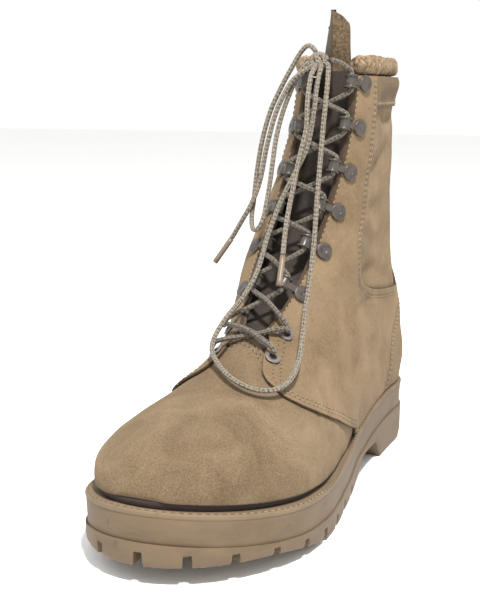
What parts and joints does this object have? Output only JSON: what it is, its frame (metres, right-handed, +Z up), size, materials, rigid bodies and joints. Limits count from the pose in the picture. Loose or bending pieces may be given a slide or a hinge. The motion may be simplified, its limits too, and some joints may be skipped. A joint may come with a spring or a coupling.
{
  "type": "combat boot",
  "caption": "Single suede lace-up combat boot with lugged rubber sole, laced facing, bellows tongue and padded collar.",
  "frame": {"origin": "middle of the heel's flat tread face, on the floor", "axes": "+Z up through the shaft, -Y along the foot towards the toe, +X towards the outer side of a left foot"},
  "size_m": [0.1217, 0.345, 0.2945],
  "materials": {
    "suede": "rough suede",
    "smooth_leather": "smooth side of suede leather",
    "rubber": "matt moulded rubber",
    "welt": "matt welt strip with stitch holes",
    "dark_rand": "dark brown, dull",
    "insole": "dark felted footbed",
    "painted_metal": "satin tan paint",
    "eyelet_ring": "pale satin paint",
    "lace": "braided cord with dark flecks",
    "lace_tip": "clear-wound tip"
  },
  "bodies": {
    "root": {"outsole": "rubber", "midsole": "rubber", "welt": "welt", "rand": "dark_rand", "insole": "insole", "upper": "suede", "quarter_lateral": "suede", "quarter_medial": "suede", "counter": "suede", "collar_band": "smooth_leather", "collar_roll": "suede", "tongue": "suede", "eyelet_lateral_1": "eyelet_ring", "eyelet_lateral_2": "eyelet_ring", "eyelet_medial_1": "eyelet_ring", "eyelet_medial_2": "eyelet_ring", "lace_loop_lateral_1": "painted_metal", "lace_loop_lateral_2": "painted_metal", "lace_loop_lateral_3": "painted_metal", "lace_loop_lateral_4": "painted_metal", "lace_loop_lateral_5": "painted_metal", "lace_loop_lateral_6": "painted_metal", "lace_loop_medial_1": "painted_metal", "lace_loop_medial_2": "painted_metal", "lace_loop_medial_3": "painted_metal", "lace_loop_medial_4": "painted_metal", "lace_loop_medial_5": "painted_metal", "lace_loop_medial_6": "painted_metal", "lace_crossings_a": "lace", "lace_crossings_b": "lace", "lace_knot": "lace", "lace_bow_low": "lace", "lace_bow_left": "lace", "lace_end_left": "lace", "lace_end_middle": "lace", "lace_tip_left": "lace_tip", "lace_tip_middle": "lace_tip"}
  },
  "joints": []
}
